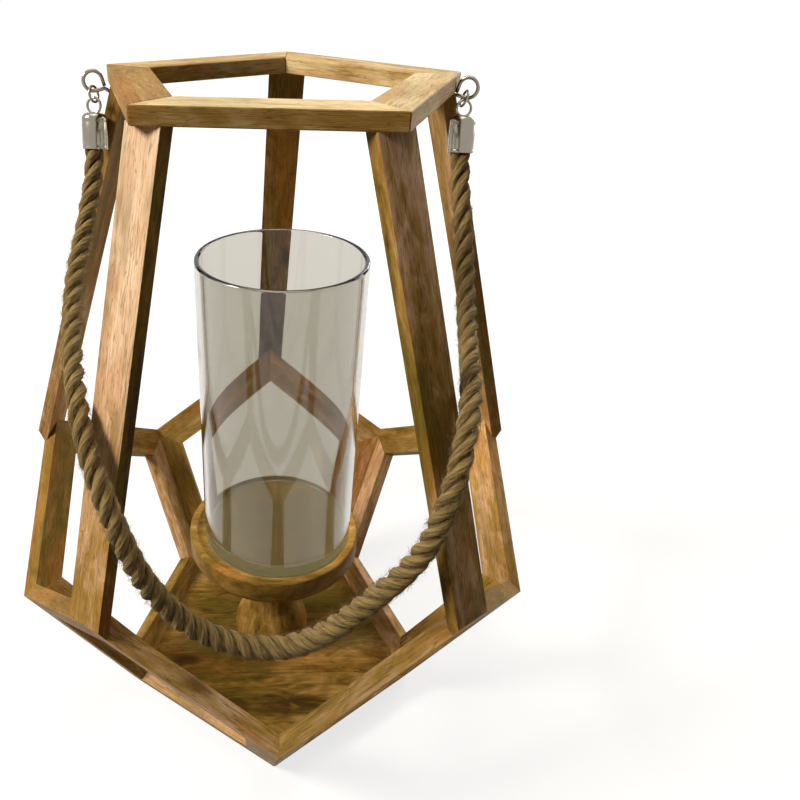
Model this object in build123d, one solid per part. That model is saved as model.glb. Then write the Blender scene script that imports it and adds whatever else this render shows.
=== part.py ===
from build123d import *
from math import atan2, cos, degrees, radians, sin, sqrt, tan
import os

# Hanging lantern: a wooden basket of five pentagon picture frames (the lower half of a
# regular dodecahedron), five legs that stand on the frames' peaks and carry a flat pentagon
# ring, a turned pedestal with a glass cylinder, and a rope handle on two screw eyes.
# Millimetres. Z is up, the base stands on Z = 0 and the lantern's axis is the Z axis.
# The handle rests on the two front legs, towards -Y.

os.makedirs("parts", exist_ok=True)

# ---- driving dimensions --------------------------------------------------------------
FRAME_EDGE = 125.0          # outside edge of every pentagon frame
PLANK_WIDTH = 22.0          # the same planed strip everywhere
FRAME_STOCK = 10.0          # thickness of the frame planks and of the base boards
LEG_STOCK = 8.0             # thickness of the legs
RING_STOCK = 9.0            # and of the top ring
HEIGHT = 416.0              # floor to the top of the ring
RING_EDGE = 120.0           # outside edge of the top ring
RING_TURN = -4.75           # the ring was fixed with this turn, so every leg leans sideways
BOARD_SEAMS = (-37.0, 21.0)  # where the three base boards meet, along Y

GLASS_DIAMETER = 101.6
GLASS_HEIGHT = 203.0
GLASS_WALL = 3.0
GLASS_BOTTOM = 8.0
CUP_DIAMETER = 118.0
CUP_RIM_Z = 120.0
CUP_RECESS = 3.5
CUP_SHIFT = 0.8             # the cup is bored a little off its middle, towards +X
GLASS_SHIFT = 3.3           # and the glass stands against that side of its recess
CUP_UNDERSIDE_Z = 96.0

ROPE_DIAMETER = 11.4
CAP_DIAMETER = 13.8
CAP_WALL = 0.5
CAP_LENGTH = 19.0
CAP_CROWN = 3.5             # height of the cap's domed end
EYE_WIRE = 2.0
LINK_WIRE = 1.4
LOOP_DIAMETER = 12.2        # outside of the screw eye's loop
LINK_DIAMETER = 9.5         # outside of the link and of the cap's own eye

# ---- shape of a regular pentagon and of the dodecahedron ------------------------------
SIDES = 5
STEP = 360.0 / SIDES
HALF = STEP / 2.0
GOLDEN = (1 + sqrt(5)) / 2


def corner_radius(edge):
    """Centre to corner of a regular pentagon."""
    return edge / (2 * sin(radians(HALF)))


def side_distance(edge):
    """Centre to side of a regular pentagon."""
    return edge / (2 * tan(radians(HALF)))


BASE_RADIUS = corner_radius(FRAME_EDGE)
BELLY_RADIUS = GOLDEN * BASE_RADIUS         # the frames' peaks and side corners
PEAK_Z = BELLY_RADIUS                       # height of the frames' peaks
LEAN = degrees(atan2(1, 2))                 # frames lean out from the vertical by this
RING_RADIUS = corner_radius(RING_EDGE)
RING_UNDERSIDE_Z = HEIGHT - RING_STOCK
RIM_DROP = PLANK_WIDTH / 2 / tan(radians(54))   # how far a plank's corner trails a peak
FAR = 600.0

# azimuths, counted from +X towards +Y; the names are seen from outside, facing the lantern
FRAMES = {"front_right": -54.0, "right": 18.0, "back": 90.0, "left": 162.0, "front_left": 234.0}
RING_BARS = {"front": -90.0, "right_front": -18.0, "right_back": 54.0, "left_back": 126.0,
             "left_front": 198.0}


def heading(azimuth):
    """Level unit vector at this azimuth."""
    return Vector(cos(radians(azimuth)), sin(radians(azimuth)), 0)


def polygon_face(points):
    return make_face(Polyline(*points, close=True))


def save(name, *solids):
    """Write one node: a single solid, or a group of separate solids."""
    shape = solids[0] if len(solids) == 1 else Compound(children=list(solids))
    export_step(shape, f"parts/{name}.step")


# ---- the five picture frames -----------------------------------------------------------
EDGE_NAMES = ("sill", "stile_right", "rafter_right", "rafter_left", "stile_left")
SILL_DROP = 6.0             # the sill is sawn deeper and then trimmed flat to the floor


def frame_plane(azimuth):
    """Outside face of a frame: X to the right, Y up the frame, Z out; origin mid-sill."""
    outward = heading(azimuth) * cos(radians(LEAN)) - Vector(0, 0, sin(radians(LEAN)))
    return Plane(origin=heading(azimuth) * side_distance(FRAME_EDGE),
                 x_dir=heading(azimuth + 90), z_dir=outward)


def frame_corners(inset):
    """The five corners of the frame's outline, moved in by inset, from the sill's left end."""
    middle = side_distance(FRAME_EDGE)
    radius = (middle - inset) / cos(radians(HALF))
    angles = [-90 - HALF + STEP * k for k in range(SIDES)]
    return [(radius * cos(radians(a)), middle + radius * sin(radians(a))) for a in angles]


def sector(azimuth):
    """The fifth part of space above the floor that belongs to one frame."""
    left, right = heading(azimuth - HALF) * FAR, heading(azimuth + HALF) * FAR
    return extrude(polygon_face([(0, 0), (left.X, left.Y), (right.X, right.Y)]), HEIGHT)


def frame_plank(azimuth, number):
    """One mitred plank, bevelled where it meets the next frame and flat on the floor."""
    outer = frame_corners(-SILL_DROP if number == 0 else 0.0)
    inner = frame_corners(PLANK_WIDTH)
    following = (number + 1) % SIDES
    outline = polygon_face([outer[number], outer[following], inner[following], inner[number]])
    plank = extrude(frame_plane(azimuth) * outline, -FRAME_STOCK,
                    dir=frame_plane(azimuth).z_dir)
    return plank & sector(azimuth)


def peak_roof(azimuth):
    """Everything under the two sloping top edges of a frame, carried past both its faces."""
    corners = frame_corners(0.0)
    peak = corners[3]
    reach = [(peak[0] + 1.5 * (c[0] - peak[0]), peak[1] + 1.5 * (c[1] - peak[1]))
             for c in (corners[2], corners[4])]
    face = frame_plane(azimuth) * polygon_face([peak, reach[0], reach[1]])
    return extrude(face, 30.0, both=True)


# ---- legs --------------------------------------------------------------------------------
LEG_HEAD_RADIUS = RING_RADIUS - RIM_DROP        # the head's edges are flush with the ring


def leg_ends(azimuth):
    """Middle of a leg's outer face, at the peak and under the ring."""
    foot = heading(azimuth) * BELLY_RADIUS + Vector(0, 0, PEAK_Z)
    head = heading(azimuth + RING_TURN) * LEG_HEAD_RADIUS + Vector(0, 0, RING_UNDERSIDE_Z)
    return foot, head


def leg_plane(azimuth):
    """Outer face of a leg: X to the right, Y up the leg, Z out; origin at the peak."""
    foot, head = leg_ends(azimuth)
    along = head - foot
    outward = heading(azimuth + RING_TURN / 2 + 90).cross(along)
    return Plane(origin=foot, x_dir=along.cross(outward), z_dir=outward)


DOWEL_RADIUS = 1.5
DOWEL_LENGTH = 16.0
DOWEL_INSET = 7.6           # behind the frame's outside edge, where leg and peak both hold it


def foot_dowel(azimuth, slack):
    """An upright dowel in a leg's foot, half of it in the peak below."""
    ridge = PEAK_Z + DOWEL_INSET * tan(radians(LEAN))
    middle = heading(azimuth) * (BELLY_RADIUS - DOWEL_INSET) + Vector(0, 0, ridge)
    return Pos(middle) * Cylinder(DOWEL_RADIUS + slack, DOWEL_LENGTH + slack)


def leg(azimuth):
    """A leg: notched over the frame's peak, its notch's tips sanded flush with the frame,
    sawn level under the ring and drilled for its dowel."""
    foot, head = leg_ends(azimuth)
    length = (head - foot).length
    blank = Pos(0, length / 2, -LEG_STOCK / 2) * Box(PLANK_WIDTH, length + 60, LEG_STOCK)
    below_ring = Pos(0, 0, RING_UNDERSIDE_Z / 2) * Box(FAR, FAR, RING_UNDERSIDE_Z)
    behind_frame = frame_plane(azimuth) * (Pos(0, 0, -FAR / 2) * Box(FAR, 2 * FAR, FAR))
    shape = (leg_plane(azimuth) * blank) & below_ring & behind_frame
    return shape - peak_roof(azimuth) - foot_dowel(azimuth, 0.1)


# ---- top ring and base boards --------------------------------------------------------------
def pentagon_points(radius, first=-90.0):
    return [(radius * cos(radians(first + STEP * k)), radius * sin(radians(first + STEP * k)))
            for k in range(SIDES)]


def ring_bar(azimuth):
    """One mitred bar of the top ring, lying flat."""
    inner_radius = RING_RADIUS - PLANK_WIDTH / cos(radians(HALF))
    ends = [heading(azimuth + RING_TURN - HALF), heading(azimuth + RING_TURN + HALF)]
    points = [(e.X * r, e.Y * r) for e, r in zip(ends + ends[::-1],
              (RING_RADIUS, RING_RADIUS, inner_radius, inner_radius))]
    return Pos(0, 0, RING_UNDERSIDE_Z) * extrude(polygon_face(points), RING_STOCK)


def base_floor():
    """The pentagon floor, its edges bevelled to the leaning inner faces of the frames."""
    wall = FRAME_STOCK / cos(radians(LEAN))
    low = side_distance(FRAME_EDGE) - wall
    high = low + FRAME_STOCK * tan(radians(LEAN))
    faces = [Pos(0, 0, z) * polygon_face(pentagon_points(side / cos(radians(HALF))))
             for z, side in ((0, low), (FRAME_STOCK, high))]
    return loft(faces)


def base_boards():
    """Front, middle and back board, sawn from the floor pentagon."""
    cuts = (-FAR / 2,) + BOARD_SEAMS + (FAR / 2,)
    floor = base_floor()
    boards = []
    for near, away in zip(cuts[:-1], cuts[1:]):
        slab = Pos(0, (near + away) / 2, 0) * Box(FAR, away - near, FAR)
        boards.append(floor & slab)
    return boards


# ---- pedestal: screw, stem, cup, and the glass that stands in it -----------------------------
TENON_RADIUS = 10.0
TENON_LENGTH = 10.0
SCREW_RADIUS = 2.0
SCREW_HEAD_RADIUS = 4.0
SCREW_LENGTH = 35.0
GLASS_BASE_Z = CUP_RIM_Z - CUP_RECESS


def turned(lines):
    """A solid turned about the Z axis from a closed outline in the XZ plane."""
    return revolve(make_face(lines), Axis.Z)


def pedestal_screw():
    """Countersunk wood screw, driven up through the middle board into the stem."""
    outline = Polyline((0, 0), (SCREW_HEAD_RADIUS, 0), (SCREW_RADIUS, 2.4),
                       (SCREW_RADIUS, SCREW_LENGTH - 5), (0, SCREW_LENGTH), close=True)
    return turned(Plane.XZ * outline)


def screw_hole():
    """Countersunk hole that fits the screw, a hair wider along its shank."""
    shank = SCREW_RADIUS + 0.1
    outline = Polyline((0, 0), (SCREW_HEAD_RADIUS, 0), (shank, 2.28), (shank, SCREW_LENGTH + 1),
                       (0, SCREW_LENGTH + 1), close=True)
    return turned(Plane.XZ * outline)


def pedestal_stem():
    """Baluster stem: a round foot bulb, a waist, a shoulder and a tenon for the cup."""
    shoulder, waist, neck, bulb, foot = (21.0, 16.4, 19.0, 26.8, 24.0)
    top, base = CUP_UNDERSIDE_Z, FRAME_STOCK
    outline = [
        ThreePointArc((foot, base), (bulb, 30), (neck, 48)),
        ThreePointArc((neck, 48), (waist, 70), (shoulder, top)),
        Polyline((shoulder, top), (TENON_RADIUS, top), (TENON_RADIUS, top + TENON_LENGTH),
                 (0, top + TENON_LENGTH), (0, base), (foot, base)),
    ]
    return turned(Plane.XZ * Curve(children=outline)) - screw_hole()


def glass_cup():
    """Shallow turned cup: rounded rim, recess for the glass, blind hole for the tenon."""
    rim, lip = CUP_DIAMETER / 2, 1.5
    recess = rim - 5.5
    under = 42.0
    top, seat, base = CUP_RIM_Z, GLASS_BASE_Z, CUP_UNDERSIDE_Z
    outline = [
        Polyline((0, seat), (recess, seat), (recess, top - lip)),
        ThreePointArc((recess, top - lip), (recess + 0.44, top - 0.44), (recess + lip, top)),
        Line((recess + lip, top), (rim - lip, top)),
        ThreePointArc((rim - lip, top), (rim - 0.44, top - 0.44), (rim, top - lip)),
        Line((rim, top - lip), (rim, top - 14)),
        ThreePointArc((rim, top - 14), (rim - 3.6, base + 4.4), (under, base)),
        Polyline((under, base), (0, base), (0, seat)),
    ]
    cup = Pos(CUP_SHIFT, 0, 0) * turned(Plane.XZ * Curve(children=outline))
    mortise = Pos(0, 0, base) * Cylinder(TENON_RADIUS, TENON_LENGTH, align=(
        Align.CENTER, Align.CENTER, Align.MIN))
    return cup - mortise


def glass_cylinder():
    """Straight glass with a thick, softly rounded bottom and a fire-polished rim."""
    outer, wall = GLASS_DIAMETER / 2, GLASS_WALL
    inner, base, top = outer - wall, GLASS_BASE_Z, GLASS_BASE_Z + GLASS_HEIGHT
    floor = base + GLASS_BOTTOM
    heel, well = 2.0, 3.0
    bend = 1 - sqrt(0.5)
    outline = [
        Line((0, base), (outer - heel, base)),
        ThreePointArc((outer - heel, base), (outer - heel * bend, base + heel * bend),
                      (outer, base + heel)),
        Line((outer, base + heel), (outer, top - wall / 2)),
        ThreePointArc((outer, top - wall / 2), (outer - wall / 2, top), (inner, top - wall / 2)),
        Line((inner, top - wall / 2), (inner, floor + well)),
        ThreePointArc((inner, floor + well), (inner - well * bend, floor + well * bend),
                      (inner - well, floor)),
        Polyline((inner - well, floor), (0, floor), (0, base)),
    ]
    return Pos(GLASS_SHIFT, 0, 0) * turned(Plane.XZ * Curve(children=outline))


# ---- handle: screw eyes, links, end caps and rope --------------------------------------------
# Fittings are drawn for the right-hand leg in a frame without the ring's turn; the left ones mirror.
LEG_AZIMUTH = 18.0
EYE_AZIMUTH = -24.0         # of the loop's plane; the shank runs the same way, down into the leg
EYE_TILT = 34.0             # how far the shank falls from level
SHANK_LENGTH = 16.0         # from the loop's centre to the end in the leg
SHANK_RADIUS = 1.0
LOOP_RADIUS = (LOOP_DIAMETER - EYE_WIRE) / 2
LINK_RADIUS = (LINK_DIAMETER - LINK_WIRE) / 2
EYE_PLAY = 0.6              # link to screw eye, so that the link can tip round its wire
LINK_PLAY = 0.8             # link to cap eye

# Each side's loop centre (out along the leg's azimuth, across it towards the front, height), how
# far its link leans forward from hanging straight down, and how far round the loop it has slid.
HANGING = {
    "left": (101.8, 15.0, 409.4, 30.0, 0.0),
    "right": (100.5, 13.2, 409.9, 75.0, 20.0),
}
CAP_PITCH = 15.0            # how far a cap leans forward from hanging straight down
LINK_TURN = 70.0            # a link is turned about its own line, crosswise to the loop
CAP_EYE_TURN = -15.0        # and a cap's eye crosswise to the link


def eye_centre(side):
    reach, across, height, _, _ = HANGING[side]
    level = heading(LEG_AZIMUTH) * reach + heading(LEG_AZIMUTH - 90) * across
    return level + Vector(0, 0, height)


def hinge_point(side):
    """Middle of the loop's wire where the link hangs; the handle turns about it."""
    slide = radians(HANGING[side][4])
    inward = heading(EYE_AZIMUTH) * -sin(slide)
    return eye_centre(side) + (inward - Vector(0, 0, cos(slide))) * LOOP_RADIUS


def shank(side, start):
    """Straight shank from this distance off the loop's centre to its end in the leg."""
    fall = radians(EYE_TILT)
    along = heading(EYE_AZIMUTH) * -cos(fall) - Vector(0, 0, sin(fall))
    return Plane(origin=eye_centre(side) + along * start, z_dir=along) * Cylinder(
        SHANK_RADIUS, SHANK_LENGTH - start, align=(Align.CENTER, Align.CENTER, Align.MIN))


def screw_eye(side):
    """Wire loop, not quite closed, on a shank that is screwed into the leg."""
    outward = heading(EYE_AZIMUTH)
    loop_plane = Plane(origin=eye_centre(side), x_dir=outward,
                       z_dir=outward.cross(Vector(0, 0, 1)))
    loop = loop_plane * Torus(LOOP_RADIUS, EYE_WIRE / 2)
    gap = loop_plane * (Rot(0, 0, 62) * Pos(LOOP_RADIUS, 0, 0) * Box(4, 0.6, 4))
    return (loop - gap) + shank(side, LOOP_RADIUS)


def fitted(side, shape):
    """A fitting drawn for the right-hand leg, put on its own side and turned with the ring."""
    own = mirror(shape, Plane.YZ) if side == "left" else shape
    return Rot(0, 0, RING_TURN) * own


def fitted_point(side, point):
    own = Vector(-point.X, point.Y, point.Z) if side == "left" else point
    return own.rotate(Axis.Z, RING_TURN)


def hang(pitch):
    """Direction of something that hangs, swung forward by pitch."""
    return Vector(0, -sin(radians(pitch)), -cos(radians(pitch)))


def ring_plane(centre, line, turn):
    """Plane of a wire ring that holds the line's direction, turned about the line."""
    across = Vector(1, 0, 0) * cos(radians(turn)) + line.cross(Vector(1, 0, 0)) * sin(radians(turn))
    return Plane(origin=centre, x_dir=line, z_dir=line.cross(across))


def link_line(side):
    return hang(HANGING[side][3])


def link_centre(side):
    reach = LINK_RADIUS - (EYE_WIRE + LINK_WIRE) / 2 - EYE_PLAY
    return hinge_point(side) + link_line(side) * reach


def cap_eye_centre(side):
    """The cap's eye hangs inside the link's far end."""
    far_wire = link_centre(side) + link_line(side) * (LINK_RADIUS - LINK_WIRE - LINK_PLAY)
    return far_wire + hang(CAP_PITCH) * LINK_RADIUS


def cap_crown(side):
    return cap_eye_centre(side) + hang(CAP_PITCH) * (LINK_RADIUS - 0.3)


def link(side):
    return ring_plane(link_centre(side), link_line(side), LINK_TURN) * Torus(
        LINK_RADIUS, LINK_WIRE / 2)


def end_cap(side):
    """Drawn metal cap with a domed crown, open at the rope's side, and its own wire eye."""
    outer, dome = CAP_DIAMETER / 2, CAP_CROWN
    bend = dome * sqrt(0.5)
    bore = outer - CAP_WALL
    outline = [
        Line((0, 0), (outer - dome, 0)),
        ThreePointArc((outer - dome, 0), (outer - dome + bend, dome - bend), (outer, dome)),
        Polyline((outer, dome), (outer, CAP_LENGTH), (bore, CAP_LENGTH), (bore, dome),
                 (0, dome), (0, 0)),
    ]
    shell = Plane(origin=cap_crown(side), x_dir=(1, 0, 0), z_dir=hang(CAP_PITCH)) * turned(
        Plane.XZ * Curve(children=outline))
    eye = ring_plane(cap_eye_centre(side), hang(CAP_PITCH), CAP_EYE_TURN) * Torus(
        LINK_RADIUS, LINK_WIRE / 2)
    return shell + eye


def rope_end(side):
    """The rope's end face inside its cap, and the next point outside."""
    seat = cap_crown(side) + hang(CAP_PITCH) * CAP_CROWN
    leave = seat + hang(CAP_PITCH) * 24.0
    return [fitted_point(side, p) for p in (seat, leave)]


# The rope hangs forward from the caps, lies over the two front legs and sags between them.
ROPE_ROUTE = [
    (-106, -6, 338),
    (-109.4, -28, 320),
    (-108, -54, 305),
    (-104, -80, 292),
    (-98, -104, 281),
    (-92.5, -118, 267),
    (-86.5, -129, 254),
    (-80.7, -135, 240),
    (-75.3, -139, 225),
    (-69.3, -140, 207),
    (-60, -139, 188),
    (-47.5, -138, 170),
    (-32.5, -138, 159.4),
    (-17, -138, 152.8),
    (-3, -138, 151.3),
    (10.6, -138, 154.2),
    (22.8, -138, 161.3),
    (33.5, -138, 171),
    (46, -138, 185),
    (54.5, -138.5, 195.7),
    (63, -139, 207),
    (71.5, -140, 224),
    (77, -138, 242),
    (80.9, -135, 257),
    (84.6, -128.5, 270),
    (88.6, -117.3, 282),
    (92.8, -100, 290.5),
    (97.4, -74, 294.5),
    (101.2, -46, 303.5),
    (102.5, -27, 322),
    (101.2, -16.5, 343),
]


def rope_points():
    return rope_end("left") + [Vector(*p) for p in ROPE_ROUTE] + rope_end("right")[::-1]


def bend_radii(points):
    """For each corner of the route, the largest arc that its two runs allow."""
    radii = []
    for before, here, after in zip(points, points[1:], points[2:]):
        incoming, outgoing = here - before, after - here
        turn = radians(incoming.get_angle(outgoing))
        radii.append(0.45 * min(incoming.length, outgoing.length) / tan(turn / 2))
    return radii


def rope():
    points = rope_points()
    radii = bend_radii(points)
    path = FilletPolyline(*points, radius=radii)
    section = Plane(origin=path @ 0, z_dir=path % 0) * Circle(ROPE_DIAMETER / 2)
    tube = sweep(section, path=path)
    expected = section.area * path.length
    print("rope length", round(path.length, 1), "bend radii", [round(r) for r in radii])
    print("rope volume over section times length", round(tube.volume / expected, 4))
    return tube


# ---- build and write every node ------------------------------------------------------------------
def write_frames():
    for name, azimuth in FRAMES.items():
        drilled = foot_dowel(azimuth, 0.1)
        for number, edge in enumerate(EDGE_NAMES):
            plank = frame_plank(azimuth, number)
            if edge.startswith("rafter"):
                plank = plank - drilled
            save(f"{name}_{edge}", plank)


def write_legs():
    for name, azimuth in FRAMES.items():
        shape = leg(azimuth)
        if name in HANGING:
            shape = shape - fitted(name, shank(name, 0.0))
        save(f"leg_{name}", shape)
    save("leg_foot_dowels", *[foot_dowel(azimuth, 0.0) for azimuth in FRAMES.values()])


def write_ring_and_base():
    for name, azimuth in RING_BARS.items():
        save(f"ring_{name}", ring_bar(azimuth))
    front, middle, back = base_boards()
    save("base_board_front", front)
    save("base_board_middle", middle - screw_hole())
    save("base_board_back", back)


def write_pedestal():
    save("pedestal_screw", pedestal_screw())
    save("pedestal_stem", pedestal_stem())
    save("glass_cup", glass_cup())
    save("glass_cylinder", glass_cylinder())


def write_handle():
    for side in HANGING:
        save(f"screw_eye_{side}", fitted(side, screw_eye(side)))
        save(f"link_{side}", fitted(side, link(side)))
        save(f"rope_cap_{side}", fitted(side, end_cap(side)))
    save("rope", rope())


write_frames()
write_legs()
write_ring_and_base()
write_pedestal()
write_handle()
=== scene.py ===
"""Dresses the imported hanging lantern: timber, turned pedestal, glass, plated fittings, jute rope.

Everything is in metres in the model's own frame: Z up, the base on Z = 0, the handle resting
towards -Y.
"""

import math
import random

import bmesh
import bpy
from mathutils import Matrix, Vector, noise


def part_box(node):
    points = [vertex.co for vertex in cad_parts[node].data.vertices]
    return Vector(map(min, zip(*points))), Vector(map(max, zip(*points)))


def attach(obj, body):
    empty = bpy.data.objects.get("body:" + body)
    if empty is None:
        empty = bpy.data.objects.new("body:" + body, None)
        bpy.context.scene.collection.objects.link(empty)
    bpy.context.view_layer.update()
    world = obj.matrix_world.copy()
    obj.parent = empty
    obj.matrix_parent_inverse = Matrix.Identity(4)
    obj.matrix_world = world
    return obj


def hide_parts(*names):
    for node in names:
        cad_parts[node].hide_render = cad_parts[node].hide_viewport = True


bl_info = {
    "name": "Hanging lantern",
    "version": (1, 0, 0),
    "blender": (4, 5, 0),
    "location": "View3D > Sidebar > Lantern",
    "description": "Timber, glass, plated fittings and jute rope of a hanging lantern",
    "category": "Object",
}

MM = 0.001
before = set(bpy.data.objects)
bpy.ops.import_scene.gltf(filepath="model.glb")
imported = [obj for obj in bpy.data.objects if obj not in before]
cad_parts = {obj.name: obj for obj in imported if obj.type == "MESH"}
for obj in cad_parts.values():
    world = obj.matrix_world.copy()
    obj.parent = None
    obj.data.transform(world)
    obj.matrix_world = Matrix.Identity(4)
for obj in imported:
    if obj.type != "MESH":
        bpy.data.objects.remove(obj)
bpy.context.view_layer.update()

# ---- the lantern's own places, in millimetres --------------------------------------------------
RING_TURN = math.radians(-4.75)     # the top ring is fixed with this turn
RIM_FRAMES = ("front_right", "right", "back", "left", "front_left")
FRAME_EDGES = ("sill", "stile_right", "rafter_right", "rafter_left", "stile_left")
RING_BARS = ("front", "right_front", "right_back", "left_back", "left_front")
BASE_BOARDS = ("front", "middle", "back")

# How pale each piece of timber is, from 0 for dark heartwood to 1 for sapwood, with painted light and
# shade folded in. Three numbers are for its low end, its high end, and how much its narrow sides differ.
# A low end darker than the high end is painted shade where the light falls off towards the foot; the
# narrow sides' shift is painted shade where it is below 0 and painted light where it is above 0. A piece
# that is not here gets a middling tone of its own.
TONES = {
    # Painted shade on the two front legs: darker towards the foot and on the narrow sides.
    "leg_front_left": (0.38, 1.05, -0.75),
    "leg_front_right": (0.46, 0.60, -0.22),
    "leg_left": (0.62, 0.34, 0.0),
    "leg_right": 0.46,
    "leg_back": 0.34,
    # Painted light and shade on the two front ring bars: pale tops, darker narrow front faces.
    "ring_front": (1.0, 1.0, -0.55),
    "ring_right_front": (0.95, 0.95, -0.25),
    "ring_left_front": 0.40,
    "ring_right_back": 0.66,
    "ring_left_back": 0.58,
    # Painted shade: the boards inside the lantern are set dark, partly for the shade they lie in.
    "base_board_front": 0.16,
    "base_board_middle": 0.28,
    "base_board_back": 0.24,
    "pedestal_stem": 0.24,
    "glass_cup": 0.26,
    # Painted light: the front left sill's narrow sides are paler.
    "front_left_sill": (0.34, 0.34, 0.28),
    "front_right_sill": 0.48,
    "right_stile_left": 0.40,
    "left_stile_right": 0.36,
    "left_stile_left": 0.62,
    "right_stile_right": 0.66,
}
# The boards' material, more olive and darker partly as painted shade, also dresses this leg.
DARK_LEG = "leg_front_right"        # this leg is cut from the same olive timber as the boards

# Plated fittings, placed as on the right-hand leg and before the ring's turn; the left ones mirror.
FITTINGS = {
    "left": {"loop": (101.453, 17.192, 409.4), "link": (101.453, 16.317, 402.784), "lean": 30.0,
             "cap_eye": (101.453, 14.344, 397.27), "crown": (101.453, 13.373, 393.648)},
    "right": {"loop": (99.66, 18.502, 409.9), "link": (98.067, 17.521, 404.655), "lean": 75.0,
              "cap_eye": (98.067, 14.686, 400.264), "crown": (98.067, 13.716, 396.642)},
}
EYE_BEARING = -24.0                 # the screw eyes' loops stand in this plane, degrees from +X
EYE_FALL = 34.0                     # and their shanks fall towards the leg by this
CAP_LEAN = 15.0                     # degrees forward from hanging straight down
LINK_TWIST = 70.0                   # links and the caps' own eyes stand crosswise
CAP_EYE_TWIST = -15.0
EYE_RADIUS = 6.1                    # outer radius of a screw eye's loop
SHANK_REACH = 16.0                  # from the loop's middle to the hidden end of the shank
LINK_RADIUS = 4.75                  # outer radius of a link and of a cap's own eye

ROPE_LENGTH = 0.711                 # metres, from end to end of the route below
STRAND_OFFSET = 0.256               # a strand's middle line from the rope's, and its radius,
STRAND_RADIUS = 0.244               # as shares of the rope's diameter
YARNS = 6                           # yarns that show round one strand
YARN_LAY = 0.012                    # metres of rope for one turn of the yarns

# The rope's route, from its end in the left cap to its end in the right one.
ROPE_ROUTE = [
    (-100.07, 20.83, 390.27), (-100.59, 14.64, 367.09), (-106, -6, 338), (-109.4, -28, 320),
    (-108, -54, 305), (-104, -80, 292), (-98, -104, 281), (-92.5, -118, 267),
    (-86.5, -129, 254), (-80.7, -135, 240), (-75.3, -139, 225), (-69.3, -140, 207),
    (-60, -139, 188), (-47.5, -138, 170), (-32.5, -138, 159.4), (-17, -138, 152.8),
    (-3, -138, 151.3), (10.6, -138, 154.2), (22.8, -138, 161.3), (33.5, -138, 171),
    (46, -138, 185), (54.5, -138.5, 195.7), (63, -139, 207), (71.5, -140, 224),
    (77, -138, 242), (80.9, -135, 257), (84.6, -128.5, 270), (88.6, -117.3, 282),
    (92.8, -100, 290.5), (97.4, -74, 294.5), (101.2, -46, 303.5), (102.5, -27, 322),
    (101.2, -16.5, 343), (98.28, -1.55, 370.08), (98.79, 4.65, 393.26),
]


# ---- sizes and colours that a user would change ------------------------------------------------
def length(name, text, default):
    return bpy.props.FloatProperty(name=name, description=text, default=default, min=0.0,
                                   subtype="DISTANCE", unit="LENGTH", precision=5)


def shade(name, text, default):
    return bpy.props.StringProperty(name=name, description=text + ", as an sRGB hex value",
                                    default=default)


class LanternTimber(bpy.types.PropertyGroup):
    edge: length("Eased edge", "Width that sanding took off each plank's edges", 0.0006)
    deep: shade("Deepest figure", "Darkest streaks of the wood", "#45300d")
    dark: shade("Dark figure", "Dark bands of the wood's figure", "#7f6024")
    body: shade("Body colour", "Main colour of the oiled wood", "#aa8243")
    light: shade("Light figure", "Pale bands of the wood's figure", "#dcb085")
    pale: shade("Sapwood", "Palest sapwood", "#f3d0a8")
    # The ring's colours, paler and yellower than the rest, are partly painted light on the ring's lit
    # tops.
    ring_light: shade("Ring's light figure", "Pale bands of the top ring's bars", "#dcbc84")
    ring_pale: shade("Ring's sapwood", "Palest sapwood of the top ring's bars", "#f0d8a4")
    pore: shade("Pores", "Oil-filled pores and fine dark lines", "#3c270f")
    green: shade("Weathered tint", "Olive tint of the less sanded stretches", "#6a5a1e")
    warm: shade("Heartwood tint", "Orange tint of some stretches", "#b06a2a")


class LanternGlass(bpy.types.PropertyGroup):
    wall: length("Wall", "Thickness of the cylinder's wall", 0.003)
    bottom: length("Bottom", "Thickness of the cylinder's bottom", 0.008)
    tint: shade("Tint", "What one surface of the wall leaves of white light", "#cbc8bf")
    foot: shade("Foot tint", "Colour of the thick, slightly dusty bottom", "#9d9874")


class LanternFittings(bpy.types.PropertyGroup):
    eye_wire: length("Screw eye wire", "Wire diameter of the screw eyes", 0.0020)
    link_wire: length("Link wire", "Wire diameter of the links", 0.0014)
    # The two platings are set darker than bare nickel: painted shade for the dark surroundings that the
    # fittings reflect.
    plating: shade("Plating", "Reflected colour of the caps' nickel plating", "#958e80")
    wire_plating: shade("Wire plating", "Reflected colour of the wire's duller plating", "#8d8577")


class LanternRope(bpy.types.PropertyGroup):
    diameter: length("Diameter", "Nominal diameter of the laid rope", 0.0114)
    lay: length("Lay", "Length of one full turn of a strand where the rope hangs slack", 0.026)
    long_lay: length("Long lay", "Length of one full turn where the rope is pulled", 0.033)
    fibres: bpy.props.IntProperty(name="Loose fibres", description="Hairs that stand off the rope",
                                  default=11000, min=0)
    # Painted light and shade: the lit fibre colour is light on the strands' crowns, the deep fibre
    # colour shade between the strands.
    light: shade("Lit fibre", "Colour of the strands' crowns", "#9c8250")
    middle: shade("Fibre", "Colour of most of the rope", "#725b2f")
    dark: shade("Deep fibre", "Colour down between the strands", "#2f220c")


class LanternStage(bpy.types.PropertyGroup):
    floor: shade("Floor", "Colour of the floor where it is seen", "#8f8e8b")
    bounce: shade("Bounce", "Colour of the floor for the light it throws back up", "#65625c")
    key: bpy.props.FloatProperty(name="Key light", description="Power of the large left light",
                                 default=46.0, min=0.0, unit="POWER")
    sky: bpy.props.FloatProperty(name="Room light", description="Strength of the even room light",
                                 default=0.13, min=0.0)


# ---- small tools -------------------------------------------------------------------------------
def colour(code, alpha=1.0):
    """sRGB hex value as the linear colour that a shader socket takes."""
    parts = [int(code[i:i + 2], 16) / 255 for i in (1, 3, 5)]
    return (*(c / 12.92 if c <= 0.04045 else ((c + 0.055) / 1.055) ** 2.4 for c in parts), alpha)


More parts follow.
